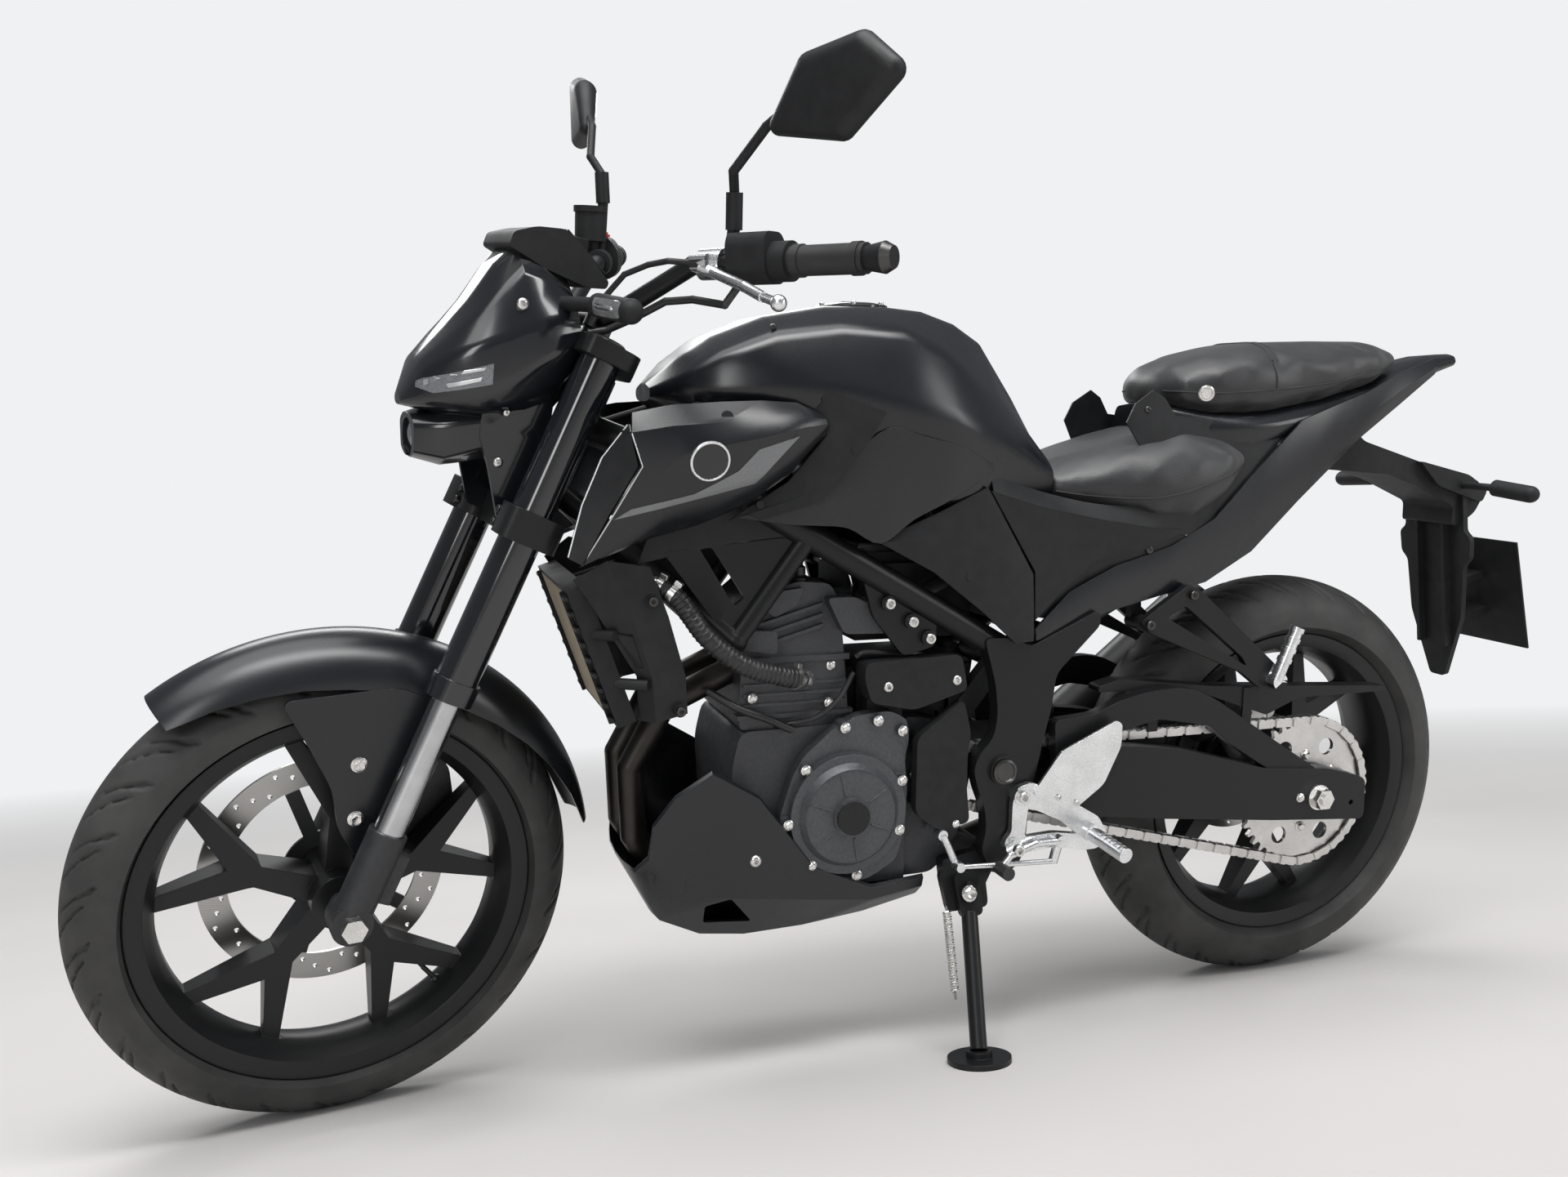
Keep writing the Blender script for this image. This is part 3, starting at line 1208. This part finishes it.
class MOTORCYCLE_OT_lamps(bpy.types.Operator):
    """Build the lamp glasses, their rims and the indicators' lenses"""

    bl_idname = "motorcycle.lamps"
    bl_label = "Lamps"

    def execute(self, context):
        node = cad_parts["front_lamps"]
        bm = bmesh.new()
        bm.from_mesh(node.data)
        bmesh.ops.remove_doubles(bm, verts=bm.verts, dist=WELD)
        back = STEERED.inverted()
        for v in bm.verts:
            v.co = back @ v.co
        bm.faces.ensure_lookup_table()
        seen, parts = set(), []
        for f in bm.faces:
            if f.index in seen:
                continue
            stack, part = [f], []
            seen.add(f.index)
            while stack:
                g = stack.pop()
                part.append(g)
                for e in g.edges:
                    for h in e.link_faces:
                        if h.index not in seen:
                            seen.add(h.index)
                            stack.append(h)
            parts.append(part)
        glass, shell = bmesh.new(), bmesh.new()
        for part in parts:
            middle = sum((f.calc_center_median() for f in part), Vector()) / len(part)
            target = shell if abs(middle.y) > 100 else glass
            made = {}
            for f in part:
                for v in f.verts:
                    if v not in made:
                        made[v] = target.verts.new(v.co)
                target.faces.new([made[v] for v in f.verts])
        bm.free()
        for name, form, finish in (
            ("lamp_glasses", glass, "lamp_glass"),
            ("indicator_shells", shell, "grained_resin"),
        ):
            piece = put(name, form, "steering", finish, STEERED)
            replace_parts(piece, "front_lamps")
        lenses, guides = bmesh.new(), bmesh.new()
        for s in SIDES:
            lens_bar(lenses, (407, 140 * s, 1003), (399.5, 206 * s, 999.5), (1, 0, 0), 9.8, 14.4)
            lens_bar(guides, (407, 150 * s, 1003), (401, 192 * s, 1000), (1, 0, 0), 3.0, 15.2)
        put("indicator_lenses", lenses, "steering", "clear_lens", STEERED)
        put("indicator_reflectors", guides, "steering", "reflector", STEERED)
        lenses = bmesh.new()
        for s in SIDES:
            lens_bar(lenses, (-986, 128 * s, 768), (-984, 190 * s, 763), (-1, 0, 0), 9, 13.2)
        put("rear_indicator_lenses", lenses, "chassis", "amber_lens")
        tree = surface_of("front_lamps", STEERED)
        bm = bmesh.new()
        for s in SIDES:
            for outline in (
                [(590, 906), (566, 921), (523, 929), (524, 926), (564, 917), (583, 905)],
                [(562, 909), (527, 918), (528, 914), (560, 905)],
            ):
                sheet_on(bm, tree, outline, s, 0.25, 5, 0.7)
        put("lamp_guides", bm, "steering", "reflector", STEERED)
        rims = bmesh.new()
        axis = Vector((cos(radians(6)), 0, -sin(radians(6))))
        rim = [(22.3, 10), (22.3, 17), (20.8, 17.6), (20.2, 15), (20.2, 10)]
        lathe(rims, PROJECTOR, axis, rim, 48)
        put("projector_rim", rims, "steering", "reflector", STEERED)
        return {"FINISHED"}


class MOTORCYCLE_OT_cooling(bpy.types.Operator):
    """Build the radiator's fins, its side louvres and the ribbed hose with its clamps"""

    bl_idname = "motorcycle.cooling"
    bl_label = "Radiator and hose"

    def execute(self, context):
        sizes = context.scene.motorcycle_sizes
        turned = Matrix.Translation(RADIATOR_MIDDLE) @ Matrix.Rotation(RADIATOR_TURN, 4, "Y")
        fins = bmesh.new()
        for k in range(FINS):
            y = -FIN_SPAN / 2 + FIN_SPAN * k / (FINS - 1)
            for x in (9.2, -12.6):
                block(fins, (x, y - 0.35, -84), (x + 3.4, y + 0.35, 84), turned)
        put("radiator_fins", fins, "chassis", "core_fins")
        louvres = bmesh.new()
        for s in SIDES:
            for k in range(9):
                y = 96 if s > 0 else -117
                low, high = (12.2, y, -82 + 20 * k), (17.5, y + 21, -76 + 20 * k)
                block(louvres, low, high, turned, 1.0)
            block(louvres, (12.2, 94 * s - 1.5, -88), (18, 94 * s + 1.5, 88), turned, 0.8)
        put("radiator_louvres", louvres, "chassis", "side_resin")
        rib = sizes.hose_rib * 1000
        route = [(306, 104, 664), (282, 122, 648), (252, 142, 604)]
        route += [(206, 144, 568), (150, 132, 548), (120, 113, 539)]
        line = fair_line(route, 40)

        def ribbed(run):
            return HOSE_RADIUS + rib * max(0.0, sin(run * 2 * pi / HOSE_RIB_PITCH)) ** 2

        hose, neck = bmesh.new(), bmesh.new()
        sweep(hose, line, ribbed, 20)
        upper = [(386, 98, 652), (340, 100, 660), (306, 104, 664), (294, 111, 657)]
        sweep(neck, fair_line(upper, 8), HOSE_NECK, 20)
        lower = [(126, 116, 541), (112, 106, 537), (112, 94, 537)]
        sweep(neck, fair_line(lower, 6), HOSE_NECK, 20)
        for name, form, finish, slot in (
            ("ribbed_hose", hose, "hose_rubber", "hose_rubber"),
            ("hose_elbows", neck, "polished_alloy", "bright_alloy"),
        ):
            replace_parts(put(name, form, "chassis", finish), "coolant_hose")
        bands = bmesh.new()
        for i in (8, 30, 186):
            along = (line[i + 1] - line[i]).normalized()
            lathe(bands, line[i], along, [(12.9, -4), (13.6, -4), (13.6, 4), (12.9, 4)], 32)
            turn = along.to_track_quat("X", "Z").to_matrix().to_4x4()
            block(bands, (-5, -4, 12.5), (5, 4, 19), Matrix.Translation(line[i]) @ turn, 0.8)
        put("hose_bands", bands, "chassis", "bolt_steel")
        return {"FINISHED"}


class MOTORCYCLE_OT_small_parts(bpy.types.Operator):
    """Add the stand's spring and bolt, valve stems, leads, pipes, brake hose and kill switch"""

    bl_idname = "motorcycle.small_parts"
    bl_label = "Small parts"

    def execute(self, context):
        springs = bmesh.new()
        start, end = Vector((-80, 141, 216)), Vector((-68, 196, 128))
        along = end - start
        u = along.normalized().orthogonal().normalized()
        w = along.normalized().cross(u)
        turns = [0.82 * k for k in range(COIL_STEPS + 1)]
        coil = [5.2 * (cos(a) * u + sin(a) * w) for a in turns]
        coil = [start + along * (k / COIL_STEPS) + p for k, p in enumerate(coil)]
        sweep(springs, coil, 1.15, 6)
        sweep(springs, [start - along * 0.06, start + along * 0.02], 1.6, 8)
        sweep(springs, [end - along * 0.02, end + along * 0.08], 1.6, 8)
        put("stand_spring", springs, "side_stand", "bolt_steel")
        for axle, place, body, name, ang in (
            (FRONT_AXLE, STEERED, "front_wheel", "front_valve", 232),
            (REAR_AXLE, STAND, "rear_wheel", "rear_valve", 140),
        ):
            t = radians(ang)
            out = Vector((cos(t), 0, sin(t)))
            bm = bmesh.new()
            stem = [(6, -2), (6, 2), (3.4, 5), (3.2, 26), (2.4, 27), (2.4, 33), (1.4, 34)]
            lathe(bm, axle + out * VALVE_REACH, -out, stem, 16)
            put(name, bm, body, "hose_rubber", place)
        leads = bmesh.new()
        for radius, sides, points in (
            (3.6, 10, [(109, 68, 672), (100, 60, 694), (66, 52, 708), (20, 48, 700)]),
            (
                3.4,
                10,
                [(150, 80, 470), (128, 96, 478), (96, 104, 486), (66, 104, 508), (44, 100, 540)],
            ),
            (4.0, 10, [(40, 96, 560), (28, 100, 566), (-10, 98, 562), (-60, 88, 556)]),
            (5.0, 12, [(230, 66, 520), (196, 90, 500), (160, 98, 486), (128, 100, 470)]),
        ):
            sweep(leads, fair_line(points, 8), radius, sides)
        lathe(leads, (109, 68, 654), (0, 0, 1), [(11, 0), (11, 8), (8, 12), (8, 22), (5, 24)], 20)
        put("engine_leads", leads, "chassis", "hose_rubber")
        pipes = bmesh.new()
        for points in (
            [(86, 69, 699), (62, 70, 697), (38, 70, 693), (18, 62, 680), (9, 58, 650)],
            [(82, 69, 687), (58, 70, 684), (44, 70, 672), (37, 70, 650), (36, 64, 630)],
        ):
            sweep(pipes, fair_line(points, 10), 3.0, 14)
        put("water_pipes", pipes, "chassis", "reflector")
        hose = bmesh.new()
        run = [(296, -190, 1056), (340, -130, 1010), (420, -84, 940), (462, -72, 860)]
        run += [(492, -80, 740), (560, -96, 560), (600, -94, 440)]
        sweep(hose, fair_line(run, 10), 3.2, 10)
        put("brake_hose", hose, "steering", "hose_rubber", STEERED)
        red = bmesh.new()
        at = onto(surface_of("controls", STEERED), (266, -222, 1000), (0, 0, -1))
        block(red, (at.x - 12, at.y - 9, at.z - 2), (at.x + 12, at.y + 9, at.z + 7), chamfer=3)
        put("kill_switch", red, "steering", "kill_red", STEERED)
        bolts = bmesh.new()
        flange_bolt(bolts, (-108, 150, 241), (0, cos(0.3), sin(0.3)), 8)
        put("stand_bolt", bolts, "side_stand", "bolt_steel")
        return {"FINISHED"}


class MOTORCYCLE_OT_stage(bpy.types.Operator):
    """Set the pale floor, the soft light and the camera of the photograph"""

    bl_idname = "motorcycle.stage"
    bl_label = "Stage"

    def execute(self, context):
        bm = bmesh.new()
        dish = [(60000, -2), (60000, 0), (9000, 0.5), (3000, 0.9), (0, 1)]
        lathe(bm, (0, 0, -1), (0, 0, 1), dish, 96)
        mesh = bpy.data.meshes.new("studio_floor")
        bm.to_mesh(mesh)
        bm.free()
        mesh.transform(Matrix.Scale(0.001, 4))
        floor = bpy.data.objects.new("studio_floor", mesh)
        context.scene.collection.objects.link(floor)
        material, tree, shader = new_finish("floor_tone")
        tone = tint(tree, noise(tree, 1.3, 3), (0.5, 0.485, 0.475), (0.53, 0.515, 0.505))
        feed(tree, shader, {"Base Color": tone, "Roughness": 0.55})
        spot = add(tree, "ShaderNodeNewGeometry").outputs["Position"]
        reach = add(tree, VECTOR_MATH, spot, operation="LENGTH").outputs["Value"]
        far = spread(tree, reach, 0.0, 1.0, *FLOOR_FADE)
        seen = add(tree, "ShaderNodeLightPath").outputs["Is Camera Ray"]
        share = add(tree, "ShaderNodeMath", far, seen, operation="MULTIPLY").outputs[0]
        haze = add(tree, "ShaderNodeEmission", Color=HAZE, Strength=1.0).outputs[0]
        fade = add(tree, "ShaderNodeMixShader", share, shader.outputs["BSDF"], haze)
        feed(tree, tree.nodes["Material Output"], {"Surface": fade.outputs[0]})
        mesh.materials.append(material)

        world = bpy.data.worlds.new("studio")
        context.scene.world = world
        world.use_nodes = True
        tree = world.node_tree
        tree.nodes.clear()
        seen = add(tree, "ShaderNodeBackground", Color=HAZE).outputs[0]
        light = add(tree, "ShaderNodeBackground", Color=(0.93, 0.96, 1.0, 1), Strength=0.2)
        path = add(tree, "ShaderNodeLightPath").outputs
        rays = path["Is Camera Ray"], path["Is Transmission Ray"]
        both = add(tree, "ShaderNodeMath", *rays, operation="MAXIMUM").outputs[0]
        mix = add(tree, "ShaderNodeMixShader", both, light.outputs[0], seen)
        add(tree, "ShaderNodeOutputWorld", Surface=mix.outputs[0])

        sky = bpy.data.lights.new("ceiling", "SUN")
        sky.energy, sky.angle = 2.4, radians(60)
        holder = bpy.data.objects.new("ceiling", sky)
        holder.rotation_euler = (radians(-14), radians(8), 0)
        context.scene.collection.objects.link(holder)
        power = context.scene.motorcycle_sizes.lamp_power
        for name, where, aim, size, share in (
            ("softbox_over", (0.1, 1.3, 3.0), (0, 0, 0.7), (3.2, 0.7), 1.0),
            ("softbox_side", (2.6, 3.4, 1.7), (0.1, 0, 0.6), (0.7, 2.2), 0.5),
            ("softbox_rear", (-3.2, 2.4, 1.7), (-0.3, 0, 0.6), (0.7, 2.2), 0.5),
            ("softbox_far", (0.4, -2.6, 2.8), (0, 0, 0.7), (3.0, 0.7), 0.7),
        ):
            lamp = bpy.data.lights.new(name, "AREA")
            lamp.shape, lamp.size, lamp.size_y = "RECTANGLE", size[0], size[1]
            lamp.energy = power * share
            holder = bpy.data.objects.new(name, lamp)
            holder.location = where
            view = Vector(aim) - Vector(where)
            holder.rotation_euler = view.to_track_quat("-Z", "Y").to_euler()
            context.scene.collection.objects.link(holder)

        camera = bpy.data.objects.new("photo_camera", bpy.data.cameras.new("photo_camera"))
        camera.data.sensor_width = 36.0
        camera.data.lens = 29.03737
        camera.data.clip_start = 0.02
        camera.location = (0.71986, 1.49155, 0.52601)
        camera.rotation_euler = [radians(a) for a in (93.2573, 3.2217, 161.4006)]
        context.scene.collection.objects.link(camera)
        context.scene.camera = camera
        context.scene.view_settings.view_transform = "Standard"
        return {"FINISHED"}


class MOTORCYCLE_PT_panel(bpy.types.Panel):
    bl_idname = "MOTORCYCLE_PT_panel"
    bl_label = "Motorcycle"
    bl_space_type = "VIEW_3D"
    bl_region_type = "UI"
    bl_category = "Motorcycle"

    def draw(self, context):
        for group in (context.scene.motorcycle_tones, context.scene.motorcycle_sizes):
            for name in group.__annotations__:
                self.layout.prop(group, name)
        for step in OPERATORS:
            self.layout.operator(step.bl_idname)


OPERATORS = (
    MOTORCYCLE_OT_finish_nodes,
    MOTORCYCLE_OT_tyres,
    MOTORCYCLE_OT_cushions,
    MOTORCYCLE_OT_fasteners,
    MOTORCYCLE_OT_stripes,
    MOTORCYCLE_OT_side_trim,
    MOTORCYCLE_OT_intake,
    MOTORCYCLE_OT_mirrors,
    MOTORCYCLE_OT_meter,
    MOTORCYCLE_OT_lamps,
    MOTORCYCLE_OT_cooling,
    MOTORCYCLE_OT_small_parts,
    MOTORCYCLE_OT_stage,
)
CLASSES = (MotorcycleTones, MotorcycleSizes) + OPERATORS + (MOTORCYCLE_PT_panel,)


def register():
    for c in CLASSES:
        bpy.utils.register_class(c)
    bpy.types.Scene.motorcycle_tones = bpy.props.PointerProperty(type=MotorcycleTones)
    bpy.types.Scene.motorcycle_sizes = bpy.props.PointerProperty(type=MotorcycleSizes)


def unregister():
    del bpy.types.Scene.motorcycle_tones
    del bpy.types.Scene.motorcycle_sizes
    for c in reversed(CLASSES):
        bpy.utils.unregister_class(c)


def main():
    register()
    for step in OPERATORS:
        group, name = step.bl_idname.split(".")
        getattr(getattr(bpy.ops, group), name)()


if __name__ == "__main__":
    main()
